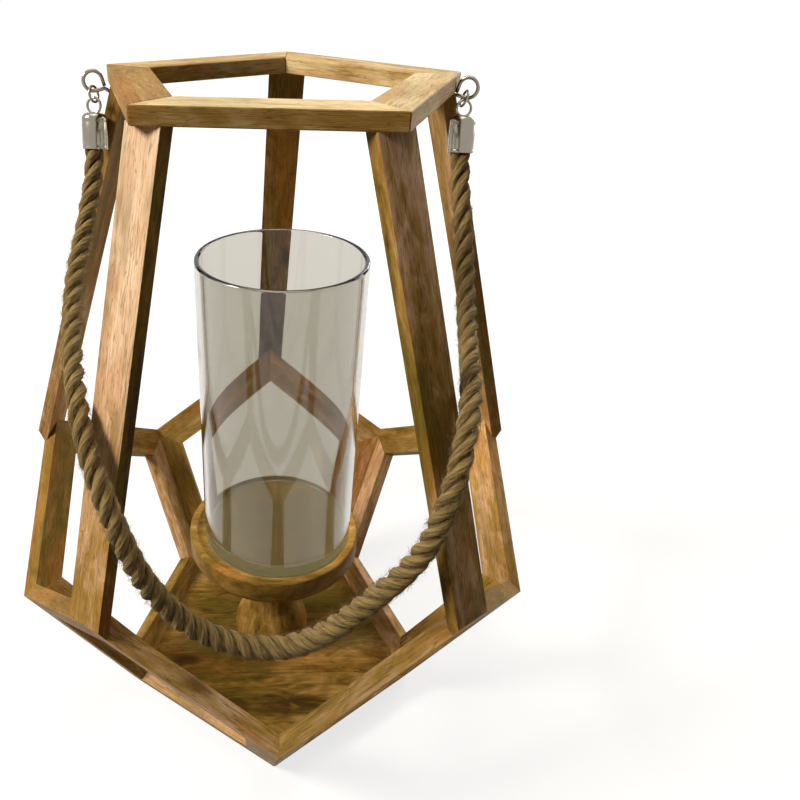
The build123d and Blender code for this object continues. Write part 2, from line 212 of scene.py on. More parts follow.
def node(tree, kind, inputs=None, stops=(), **settings):
    """A shader node with its settings; an input is a value or another node's output.

    stops are a colour ramp's (position, hex) pairs. A colour Mix node has its factor and colours
    at inputs 0, 6 and 7, and its result at output 2.
    """
    made = tree.nodes.new("ShaderNode" + kind)
    for name, value in settings.items():
        setattr(made, name, value)
    for name, value in (inputs or {}).items():
        if isinstance(value, bpy.types.NodeSocket):
            tree.links.new(value, made.inputs[name])
        else:
            made.inputs[name].default_value = value
    for i, (place, code) in enumerate(stops):
        elements = made.color_ramp.elements
        element = elements[i] if i < len(elements) else elements.new(place)
        element.position = place
        element.color = colour(code)
    return made


def seen_directly(tree):
    """1 for the rays that see a thing straight, in a mirror or through glass, 0 for the rest."""
    rays = node(tree, "LightPath").outputs
    seen = rays["Is Camera Ray"]
    for kind in ("Is Glossy Ray", "Is Transmission Ray"):
        seen = node(tree, "Math", {0: seen, 1: rays[kind]}, operation="MAXIMUM").outputs[0]
    return seen


def quarter_turn(steps):
    """Angles from 0 to a quarter of a turn, both ends included."""
    return (math.pi / 2 * i / steps for i in range(steps + 1))


def new_material(name):
    material = bpy.data.materials.new(name)
    material.use_nodes = True
    material.node_tree.nodes.clear()
    return material, material.node_tree


def finish_material(tree, shader):
    node(tree, "OutputMaterial", {"Surface": shader.outputs[0]})


def new_piece(name, mesh, material, body, slot, *replaced):
    piece = bpy.data.objects.new(name, mesh)
    bpy.context.scene.collection.objects.link(piece)
    mesh.materials.clear()
    mesh.materials.append(material)
    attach(piece, body)
    if replaced:
        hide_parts(*replaced)
    return piece


def mesh_from(name, bm, smooth=True):
    bmesh.ops.recalc_face_normals(bm, faces=bm.faces)
    mesh = bpy.data.meshes.new(name)
    bm.to_mesh(mesh)
    bm.free()
    if smooth:
        mesh.shade_smooth()
    return mesh


def lathe(bm, outline, matrix, steps):
    """Turns a closed outline of (radius, height) points into a solid; radius 0 is on the axis."""
    rings = []
    for radius, height in outline:
        if radius < 1e-7:
            rings.append([bm.verts.new(matrix @ Vector((0, 0, height)))])
            continue
        turn = [2 * math.pi * i / steps for i in range(steps)]
        rings.append([bm.verts.new(matrix @ Vector((radius * math.cos(a), radius * math.sin(a), height)))
                      for a in turn])
    for here, there in zip(rings, rings[1:]):
        for i in range(steps):
            j = (i + 1) % steps
            corners = [here[i % len(here)], here[j % len(here)],
                       there[j % len(there)], there[i % len(there)]]
            unique = list(dict.fromkeys(corners))
            if len(unique) > 2:
                bm.faces.new(unique)
    return rings


def wire(bm, points, radii, sides=14, closed=False):
    """Round wire through points; radii is one radius or one for each point."""
    count = len(points)
    if not hasattr(radii, "__len__"):
        radii = [radii] * count
    rings = []
    normal = None
    for i, point in enumerate(points):
        ahead = points[(i + 1) % count] if closed or i + 1 < count else point
        behind = points[i - 1] if closed or i > 0 else point
        along = (ahead - behind).normalized()
        if normal is None:
            normal = along.orthogonal().normalized()
        normal = (normal - along * normal.dot(along)).normalized()
        other = along.cross(normal)
        rings.append([bm.verts.new(point + (normal * math.cos(a) + other * math.sin(a)) * radii[i])
                      for a in (2 * math.pi * k / sides for k in range(sides))])
    spans = range(count if closed else count - 1)
    for i in spans:
        here, there = rings[i], rings[(i + 1) % count]
        shift = 0
        if closed and i == count - 1:      # the frame may come round turned
            shift = min(range(sides), key=lambda s: (there[s].co - here[0].co).length)
        for k in range(sides):
            bm.faces.new((here[k], here[(k + 1) % sides],
                          there[(k + 1 + shift) % sides], there[(k + shift) % sides]))
    if not closed:
        bm.faces.new(list(reversed(rings[0])))
        bm.faces.new(rings[-1])


# ---- timber ------------------------------------------------------------------------------------
SHARP_ANGLE = math.radians(28)      # edges that fold by more than this get eased


def plank_directions(bm):
    """Length, width and thickness direction of a flat strip, from its longest edge and main face."""
    main = max(bm.faces, key=lambda f: f.calc_area())
    through = main.normal.copy()
    longest = max(main.edges, key=lambda e: e.calc_length())
    along = (longest.verts[1].co - longest.verts[0].co).normalized()
    return along, through.cross(along), through


def timber_mesh(source, name, edge, seed, tone=None, axes=None, flat=True):
    """A CAD solid's shape with eased edges, and its grain's own coordinates on every point.

    grain: along, across and through the grain in metres, shifted so that no two pieces match.
    tone: how pale the wood is at each corner, as TONES has it, with its painted light and shade from
    bottom to top and on the narrow sides.  end: how much a face shows end grain.  flat pieces keep flat
    faces; turned ones are shaded smooth.
    """
    bm = bmesh.new()
    bm.from_mesh(source)
    bmesh.ops.remove_doubles(bm, verts=bm.verts, dist=1e-6)
    if flat:
        bmesh.ops.dissolve_limit(bm, angle_limit=math.radians(0.5), verts=bm.verts, edges=bm.edges)
    bmesh.ops.recalc_face_normals(bm, faces=bm.faces)
    along, across, through = axes or plank_directions(bm)
    sharp = [e for e in bm.edges if len(e.link_faces) == 2
             and e.calc_face_angle(0.0) > SHARP_ANGLE]
    bmesh.ops.bevel(bm, geom=sharp, offset=edge, segments=2, profile=0.5, affect="EDGES",
                    clamp_overlap=True)
    if not flat:
        for face in bm.faces:
            face.smooth = True
    mesh = bpy.data.meshes.new(name)
    bm.to_mesh(mesh)
    bm.free()
    pick = random.Random(seed)
    shift = Vector((pick.uniform(-3, 3), pick.uniform(-3, 3), pick.uniform(-3, 3)))
    tone = pick.uniform(0.3, 0.6) if tone is None else tone
    low_tone, high_tone, side_light_and_shade = tone if isinstance(tone, tuple) else (tone, tone, 0.0)
    heights = [vertex.co.z for vertex in mesh.vertices]
    lowest, rise = min(heights), max(heights) - min(heights)
    for attribute, kind, domain in (("grain", "FLOAT_VECTOR", "POINT"),
                                    ("tone", "FLOAT", "CORNER"), ("end", "FLOAT", "FACE")):
        mesh.attributes.new(attribute, kind, domain)
    grain, tones, ends = (mesh.attributes[layer].data for layer in ("grain", "tone", "end"))
    for i, vertex in enumerate(mesh.vertices):
        place = vertex.co
        grain[i].vector = Vector((place.dot(along), place.dot(across), place.dot(through))) + shift
    # Painted light and shade: the tone runs from the low end at the bottom to the high end at the top,
    # and faces on the narrow sides get the TONES shift.
    for i, face in enumerate(mesh.polygons):
        ends[i].value = abs(face.normal.dot(along)) ** 2
        narrow = abs(face.normal.dot(across)) > 0.7
        side = side_light_and_shade if narrow else 0.0
        for corner in face.loop_indices:
            place = mesh.vertices[mesh.loops[corner].vertex_index].co
            share = (place.z - lowest) / rise
            tones[corner].value = low_tone + (high_tone - low_tone) * share + side
    return mesh


def mango_wood(name, settings, figure=(0.085, 0.012), roughness=0.50, olive=0.45, warm=0.40,
               contrast=0.75, light=None, pale=None):
    """Mango wood, planed, lightly sanded and oiled: broad wavy figure from olive brown to pale
    sapwood, fine dark fibre lines and short oil-dark pores along the grain, a few knots, and a
    dull sheen from the oil. Sizes are in metres along and across the grain; olive and warm say
    how strong those two tints are, contrast how strong the figure is."""
    material, tree = new_material(name)
    grain = node(tree, "Attribute", attribute_name="grain").outputs["Vector"]
    tone = node(tree, "Attribute", attribute_name="tone").outputs["Fac"]
    end = node(tree, "Attribute", attribute_name="end").outputs["Fac"]
    along, across = figure

    clouds = {}
    for key, long, wide, detail, distortion in (
            ("broad", along, across * 1.4, 4.0, 0.9),       # plank-wide light and dark
            ("bands", along * 0.7, across * 0.38, 3.0, 0.5),    # growth bands, 5 to 7 mm
            ("blotch", 0.026, 0.012, 4.0, 1.6),             # curl and stain
            ("olive", 0.120, 0.040, 3.0, 0.6),
            ("warm", 0.090, 0.030, 2.0, 0.4),
            ("fibre", 0.018, 0.0008, 3.0, 0.0),             # fine fibre, about 1 mm across
            ("pores", 0.007, 0.00055, 1.0, 0.0)):           # pores, 0.5 by 7 mm
        stretched = node(tree, "Mapping", {
            "Vector": grain, "Scale": (1 / long, 1 / wide, 1 / wide)}).outputs[0]
        clouds[key] = node(tree, "TexNoise", {
            "Vector": stretched, "Scale": 1.0, "Detail": detail, "Roughness": 0.58,
            "Distortion": distortion}).outputs["Fac"]

    figured = 0.0
    for key, weight in (("broad", 0.80), ("bands", 0.34), ("blotch", 0.62)):
        part = node(tree, "Math", {0: clouds[key], 1: -0.5}, operation="ADD").outputs[0]
        part = node(tree, "Math", {0: part, 1: weight * contrast}, operation="MULTIPLY").outputs[0]
        figured = node(tree, "Math", {0: figured, 1: part}, operation="ADD").outputs[0]
    # tone carries each piece's paleness together with its painted light and shade.
    paleness = node(tree, "MapRange", {"Value": tone, "To Min": 0.24, "To Max": 0.80}).outputs[0]
    paleness = node(tree, "Math", {0: figured, 1: paleness}, operation="ADD").outputs[0]
    base = node(tree, "ValToRGB", {"Fac": paleness}, stops=(
        (0.20, settings.deep), (0.34, settings.dark), (0.50, settings.body),
        (0.66, light or settings.light), (0.82, pale or settings.pale))).outputs["Color"]

    # One knot to a block of wood 130 mm long and 50 mm wide and deep.
    blocks = node(tree, "Mapping", {
        "Vector": grain, "Scale": (1 / 0.130, 1 / 0.050, 1 / 0.050)}).outputs[0]
    knots = node(tree, "TexVoronoi", {"Scale": 1.0, "Vector": blocks}).outputs[0]
    # A fine line of darker late wood follows each place where the bands' cloud passes its middle.
    ring_line = node(tree, "Math", {0: clouds["bands"], 1: -0.5}, operation="ADD").outputs[0]
    ring_line = node(tree, "Math", {0: ring_line}, operation="ABSOLUTE").outputs[0]
    layers = (
        # what, from, to, strongest share, colour, blend
        (clouds["olive"], 0.46, 0.62, olive, settings.green, "MIX"),
        (clouds["warm"], 0.52, 0.66, warm, settings.warm, "MIX"),
        (ring_line, 0.020, 0.002, 0.42, settings.deep, "MIX"),
        (clouds["fibre"], 0.58, 0.34, 0.24, settings.pore, "MULTIPLY"),
        (clouds["pores"], 0.63, 0.70, 0.45, settings.pore, "MIX"),
        (knots, 0.13, 0.05, 0.80, settings.pore, "MIX"),
        (end, 0.0, 1.0, 0.45, settings.dark, "MIX"),
    )
    for value, low, high, share, code, blend in layers:
        factor = node(tree, "MapRange", {"Value": value, "From Min": low, "From Max": high,
                                         "To Min": 0.0, "To Max": share},
                      interpolation_type="SMOOTHSTEP").outputs[0]
        base = node(tree, "Mix", {0: factor, 6: base, 7: colour(code)}, data_type="RGBA",
                    blend_type=blend).outputs[2]

    pits = node(tree, "Math", {0: clouds["pores"], 1: -0.6}, operation="MULTIPLY").outputs[0]
    height = node(tree, "Math", {0: clouds["fibre"], 1: pits}, operation="ADD").outputs[0]
    bump = node(tree, "Bump", {"Height": height, "Strength": 0.4, "Distance": 0.0003})
    rough = node(tree, "MapRange", {"Value": clouds["fibre"], "From Min": 0.3, "From Max": 0.7,
                                    "To Min": roughness - 0.06, "To Max": roughness + 0.10})
    finish_material(tree, node(tree, "BsdfPrincipled", {
        "Base Color": base, "Roughness": rough.outputs[0], "Normal": bump.outputs[0],
        "Specular IOR Level": 0.06, "IOR": 1.47}))
    return material


class LANTERN_OT_timber(bpy.types.Operator):
    """Dresses frames, legs, top ring and base boards with oiled mango wood"""
    bl_idname = "lantern.timber"
    bl_label = "Timber"

    def execute(self, context):
        settings = context.scene.lantern_timber
        strips = [f"{rim}_{edge}" for rim in RIM_FRAMES for edge in FRAME_EDGES]
        strips += [f"leg_{rim}" for rim in RIM_FRAMES]
        oiled = mango_wood("mango_wood_planed_and_oiled", settings, contrast=0.62)
        # Painted light: the ring's paler, yellower colours stand partly for the light on its tops.
        yellow = mango_wood("mango_wood_ring", settings, contrast=0.55, olive=0.3,
                            light=settings.ring_light, pale=settings.ring_pale)
        # The boards' material is more olive and darker than the rest: partly painted shade, for the
        # boards lie in the lantern's shade.
        boards = mango_wood("mango_wood_boards", settings, figure=(0.11, 0.018), roughness=0.58,
                            olive=0.75, warm=0.22, contrast=0.95)
        jobs = [(name, boards if name == DARK_LEG else oiled) for name in strips]
        jobs += [(f"ring_{bar}", yellow) for bar in RING_BARS]
        jobs += [(f"base_board_{board}", boards) for board in BASE_BOARDS]
        for seed, (name, material) in enumerate(jobs):
            mesh = timber_mesh(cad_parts[name].data, f"{name}_timber", settings.edge, seed,
                               TONES.get(name))
            new_piece(f"{name}_timber", mesh, material, "basket", "strip_wood", name)
        return {"FINISHED"}


class LANTERN_OT_turnery(bpy.types.Operator):
    """Dresses the turned stem and the cup that holds the glass"""
    bl_idname = "lantern.turnery"
    bl_label = "Turned pedestal"

    def execute(self, context):
        settings = context.scene.lantern_timber
        turned = mango_wood("mango_wood_turned", settings, figure=(0.07, 0.014), roughness=0.48)
        upright = (Vector((0, 0, 1)), Vector((1, 0, 0)), Vector((0, 1, 0)))
        lying = (Vector((1, 0, 0)), Vector((0, 1, 0)), Vector((0, 0, 1)))
        for seed, (name, axes) in enumerate((("pedestal_stem", upright), ("glass_cup", lying)), 70):
            mesh = timber_mesh(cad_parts[name].data, f"{name}_turned", settings.edge, seed,
                               TONES[name], axes=axes, flat=False)
            mesh.set_sharp_from_angle(angle=math.radians(35))
            new_piece(f"{name}_turned", mesh, turned, "basket", "turned_wood", name)
        return {"FINISHED"}


# ---- hidden pieces -----------------------------------------------------------------------------
class LANTERN_OT_hidden(bpy.types.Operator):
    """Gives the pedestal's screw and the legs' dowels their finishes"""
    bl_idname = "lantern.hidden"
    bl_label = "Hidden screw and dowels"

    def execute(self, context):
        # Bright zinc on a steel countersunk screw: slightly cloudy metal.
        zinc, tree = new_material("steel_zinc_plated")
        cloudy = node(tree, "TexNoise", {"Scale": 900.0, "Detail": 2.0}).outputs["Fac"]
        tint = node(tree, "ValToRGB", {"Fac": cloudy},
                    stops=((0.3, "#8d8f92"), (0.7, "#b4b5b5"))).outputs["Color"]
        finish_material(tree, node(tree, "BsdfPrincipled", {
            "Base Color": tint, "Metallic": 1.0, "Roughness": 0.42}))
        # Beech dowels, cut and left plain: pale, with fine flecks.
        beech, tree = new_material("beech_dowel_plain")
        fleck = node(tree, "TexNoise", {"Scale": 1400.0, "Detail": 2.0}).outputs["Fac"]
        tint = node(tree, "ValToRGB", {"Fac": fleck},
                    stops=((0.35, "#b58c5c"), (0.65, "#cfa876"))).outputs["Color"]
        finish_material(tree, node(tree, "BsdfPrincipled", {"Base Color": tint, "Roughness": 0.7}))
        for name, material in (("pedestal_screw", zinc), ("leg_foot_dowels", beech)):
            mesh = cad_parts[name].data
            mesh.materials.clear()
            mesh.materials.append(material)
        return {"FINISHED"}


# ---- glass -------------------------------------------------------------------------------------
def soda_lime_glass(name, tint, clear=1.0):
    """Soda-lime glass, blown into a mould and fire-polished, with a faint grey cast and soft
    waves in its surface. clear is the share that lets light through; the rest is fine dust."""
    material, tree = new_material(name)
    # Waves some 45 mm long, as a mould leaves them.
    waves = node(tree, "TexNoise", {"Vector": node(tree, "TexCoord").outputs["Object"],
                                    "Scale": 22.0, "Detail": 2.0}).outputs["Fac"]
    bump = node(tree, "Bump", {"Height": waves, "Strength": 0.22, "Distance": 0.0008})
    shader = node(tree, "BsdfPrincipled", {
        "Base Color": colour(tint), "Roughness": 0.0, "IOR": 1.46, "Transmission Weight": clear,
        "Normal": bump.outputs[0]})
    finish_material(tree, shader)
    return material


class LANTERN_OT_glass(bpy.types.Operator):
    """Makes the glass cylinder with its thick bottom and rounded rim"""
    bl_idname = "lantern.glass"
    bl_label = "Glass cylinder"

    def execute(self, context):
        settings = context.scene.lantern_glass
        low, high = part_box("glass_cylinder")
        radius = (high.x - low.x) / 2
        height = high.z - low.z
        inner = radius - settings.wall
        floor = settings.bottom
        heel, cove = 0.002, 0.004       # roundings of the bottom, outside and inside
        outline = [(0.0, 0.0008), (radius * 0.72, 0.0004)]      # the underside is a little hollow
        outline += [(radius - heel + heel * math.sin(a), heel - heel * math.cos(a))
                    for a in quarter_turn(6)]
        rim = settings.wall / 2
        hold = 0.0006                   # keeps the tall walls' shading straight
        outline += [(radius, heel + hold), (radius, height - rim - hold)]
        outline += [(radius - rim + rim * math.cos(a), height - rim + rim * math.sin(a))
                    for a in (math.pi * i / 10 for i in range(11))]
        outline += [(inner, height - rim - hold), (inner, floor + cove + hold)]
        outline += [(inner - cove + cove * math.cos(a), floor + cove - cove * math.sin(a))
                    for a in quarter_turn(6)]
        outline += [(inner * 0.5, floor - 0.0003), (0.0, floor - 0.0005)]
        bm = bmesh.new()
        place = Matrix.Translation(((low.x + high.x) / 2, (low.y + high.y) / 2, low.z))
        lathe(bm, outline, place, 160)
        glass = soda_lime_glass("soda_lime_glass", settings.tint)
        foot = soda_lime_glass("soda_lime_glass_foot", settings.foot, clear=0.86)
        blown = new_piece("glass_cylinder_blown", mesh_from("glass_cylinder_blown", bm), glass,
                          "glass", "clear_glass", "glass_cylinder")
        blown.visible_shadow = False    # the lamps light the cup through it
        blown.data.materials.append(foot)
        for face in blown.data.polygons:
            face.material_index = int(face.center.z - low.z < floor + cove)
        return {"FINISHED"}


# ---- plated fittings ---------------------------------------------------------------------------
def nickel_plate(name, code, roughness):
    """Bright nickel plate on drawn steel: near mirror, faintly warm, with fine polishing marks. Its
    colour is set darker than bare nickel: a painted reflection of dark surroundings.
    """
    material, tree = new_material(name)
    # Marks some 1.4 mm long: drawn coarser than real ones, which would be too fine to show.
    marks = node(tree, "TexNoise", {"Vector": node(tree, "TexCoord").outputs["Object"],
                                    "Scale": 700.0, "Detail": 3.0}).outputs["Fac"]
    blur = node(tree, "MapRange", {"Value": marks, "To Min": roughness - 0.04,
                                   "To Max": roughness + 0.08}).outputs["Result"]
    finish_material(tree, node(tree, "BsdfPrincipled", {
        "Base Color": colour(code), "Metallic": 1.0, "Roughness": blur}))
    return material


def hang(pitch):
    """Direction of something that hangs, swung forward by pitch degrees."""
    angle = math.radians(pitch)
    return Vector((0, -math.sin(angle), -math.cos(angle)))


def side_place(side):
    """Matrix from the right fitting's millimetres, before the ring's turn, to this side."""
    mirrored = Matrix.Diagonal((-1 if side == "left" else 1, 1, 1, 1))
    return Matrix.Rotation(RING_TURN, 4, "Z") @ mirrored @ Matrix.Scale(MM, 4)


def ring_points(middle, line, twist, radius, count=40):
    """Points of a wire ring that holds the line's direction, turned about that line."""
    sideways = Vector((1, 0, 0))
    angle = math.radians(twist)
    across = sideways * math.cos(angle) + line.cross(sideways) * math.sin(angle)
    turns = (2 * math.pi * i / count for i in range(count))
    return [Vector(middle) + (line * math.cos(a) + across * math.sin(a)) * radius for a in turns]


def placed(points, place):
    return [place @ point for point in points]


def add_link(bm, middle, line, twist, wire_radius, place):
    """A round wire link, welded shut, in millimetres before its place is applied."""
    ring = ring_points(middle, line, twist, LINK_RADIUS - wire_radius / MM)
    wire(bm, placed(ring, place), wire_radius, closed=True)


class LANTERN_OT_fittings(bpy.types.Operator):
    """Makes the screw eyes, the links and the rope's end caps"""
    bl_idname = "lantern.fittings"
    bl_label = "Plated fittings"

    def execute(self, context):
        settings = context.scene.lantern_fittings
        # Painted reflection: both plating colours are darker than bare nickel, standing for dark
        # surroundings.
        bright = nickel_plate("nickel_plate_wire", settings.wire_plating, 0.16)
        drawn = nickel_plate("nickel_plate_drawn_cap", settings.plating, 0.18)
        for side, places in FITTINGS.items():
            place = side_place(side)
            self.screw_eye(side, place, places, settings, bright)
            self.link(side, place, places, settings, bright)
            self.rope_cap(side, place, places, settings, drawn)
        return {"FINISHED"}

    def screw_eye(self, side, place, places, settings, material):
        """A wire bent round to a drop-shaped loop whose end comes back to its own shank."""
        wire_radius = settings.eye_wire / 2
        bearing = math.radians(EYE_BEARING)
        outward = Vector((math.cos(bearing), math.sin(bearing), 0))
        middle = Vector(places["loop"])
        loop_radius = EYE_RADIUS - wire_radius / MM
        inward = math.pi + math.radians(EYE_FALL)
        open_half = math.radians(44)

        def at(angle, reach):
            return middle + (outward * math.cos(angle) + Vector((0, 0, 1)) * math.sin(angle)) * reach

        sweep = 2 * (math.pi - open_half)
        loop = [at(inward + open_half + sweep * i / 44, loop_radius) for i in range(45)]
        neck = loop_radius / math.cos(open_half)
        shank = [at(inward, reach) for reach in (SHANK_REACH, neck + 1.2, neck + 0.2)]
        tail = [at(inward - math.radians(9), neck * 0.93)]
        bm = bmesh.new()
        wire(bm, placed(shank + loop + tail, place), wire_radius)
        new_piece(f"screw_eye_{side}_wire", mesh_from(f"screw_eye_{side}_wire", bm), material,
                  "basket", "plated_wire", f"screw_eye_{side}")

    def link(self, side, place, places, settings, material):
        """The loose link between the screw eye and the cap's own eye."""
        bm = bmesh.new()
        add_link(bm, places["link"], hang(places["lean"]), LINK_TWIST, settings.link_wire / 2, place)
        new_piece(f"link_{side}_wire", mesh_from(f"link_{side}_wire", bm), material,
                  "links", "plated_wire", f"link_{side}")

    def rope_cap(self, side, place, places, settings, material):
        """Drawn cap: domed crown, a rolled bead at the mouth, and its own wire eye."""
        line = hang(CAP_LEAN)
        sideways = Vector((1, 0, 0))
        turn = Matrix((sideways, line.cross(sideways), line)).transposed().to_4x4()
        stand = place @ Matrix.Translation(places["crown"]) @ turn
        outer, tall, wall, dome = 6.9, 19.0, 0.5, 3.4
        profile = [(0.0, 0.0), (1.2, 0.0)]
        profile += [(outer - dome + dome * math.sin(a), dome - dome * math.cos(a))
                    for a in quarter_turn(8)]
        profile += [(outer - 0.12, 4.6), (outer - 0.12, 5.2), (outer, 5.8), (outer, tall - 2.4),
                    (outer - 0.16, tall - 2.0), (outer, tall - 1.4),
                    (outer, tall - 0.4), (outer - 0.2, tall), (outer - wall, tall - 0.2),
                    (outer - wall, dome + 1.0), (0.0, dome + 1.0)]
        bm = bmesh.new()
        lathe(bm, profile, stand, 64)
        add_link(bm, places["cap_eye"], line, CAP_EYE_TWIST, settings.link_wire / 2, place)
        cap = new_piece(f"rope_cap_{side}_drawn", mesh_from(f"rope_cap_{side}_drawn", bm),
                        material, "handle", "plated_cap", f"rope_cap_{side}")
        cap.data.set_sharp_from_angle(angle=math.radians(50))


# ---- rope --------------------------------------------------------------------------------------
def route_line(route, resolution):
    """Points of the smooth NURBS curve that has the route as its control points, in metres."""
    curve = bpy.data.curves.new("rope_route", "CURVE")
    curve.dimensions = "3D"
    curve.resolution_u = resolution
    spline = curve.splines.new("NURBS")
    spline.points.add(len(route) - 1)
    for point, place in zip(spline.points, route):
        point.co = (*(value * MM for value in place), 1)
    spline.order_u = 3
    spline.use_endpoint_u = True
    carrier = bpy.data.objects.new("rope_route", curve)
    bpy.context.scene.collection.objects.link(carrier)
    graph = bpy.context.evaluated_depsgraph_get()
    mesh = bpy.data.meshes.new_from_object(carrier.evaluated_get(graph))
    points = [vertex.co.copy() for vertex in mesh.vertices]
    bpy.data.objects.remove(carrier)
    bpy.data.curves.remove(curve)
    bpy.data.meshes.remove(mesh)
    return points


def stations_along(points):
    """(point, run length so far, along, side, up) along a line, with no twist of its own."""
    stations = []
    side = None
    run = 0.0
    for i, point in enumerate(points):
        ahead = points[min(i + 1, len(points) - 1)]
        behind = points[max(i - 1, 0)]
        along = (ahead - behind).normalized()
        if side is None:
            side = along.orthogonal().normalized()
        side = (side - along * side.dot(along)).normalized()
        if i:
            run += (point - points[i - 1]).length
        stations.append((point, run, along, side, along.cross(side)))
    return stations


def jute(name, light, middle, dark):
    """Laid jute: dull, hairy tan fibre, with painted shade that darkens it where the strands meet and
    painted light on their crowns, streaked along the yarns.
    """
    material, tree = new_material(name)
    # The strands carry their painted shade and light here; each loose hair carries its own brightness.
    painted_shade_and_tone = node(tree, "Attribute", attribute_name="painted_shade_and_tone").outputs["Fac"]
    yarn = node(tree, "Attribute", attribute_name="yarn").outputs["Vector"]
    lightness = painted_shade_and_tone
    clouds = {}
    for key, long, wide, strength in (
            ("fibre", 0.005, 0.0005, 0.8),      # single fibres, 0.5 by 5 mm, coarser than real
            ("patch", 0.009, 0.0025, 0.7)):     # darker and lighter stretches of a yarn
        stretched = node(tree, "Mapping", {
            "Vector": yarn, "Scale": (1 / long, 1 / wide, 1 / wide)}).outputs[0]
        clouds[key] = node(tree, "TexNoise", {
            "Vector": stretched, "Scale": 1.0, "Detail": 2.0}).outputs["Fac"]
        streaks = node(tree, "MapRange", {"Value": clouds[key], "To Min": -strength,
                                          "To Max": strength}).outputs[0]
        lightness = node(tree, "Math", {0: lightness, 1: streaks}, operation="ADD").outputs[0]
    tint = node(tree, "ValToRGB", {"Fac": lightness},
                stops=((0.05, dark), (0.5, middle), (0.95, light))).outputs["Color"]
    bump = node(tree, "Bump", {"Height": clouds["fibre"], "Strength": 1.0, "Distance": 0.0010})
    finish_material(tree, node(tree, "BsdfPrincipled", {
        "Base Color": tint, "Roughness": 0.85, "Normal": bump.outputs[0],
        "Sheen Weight": 0.12, "Sheen Roughness": 0.5, "Specular IOR Level": 0.08}))
    return material


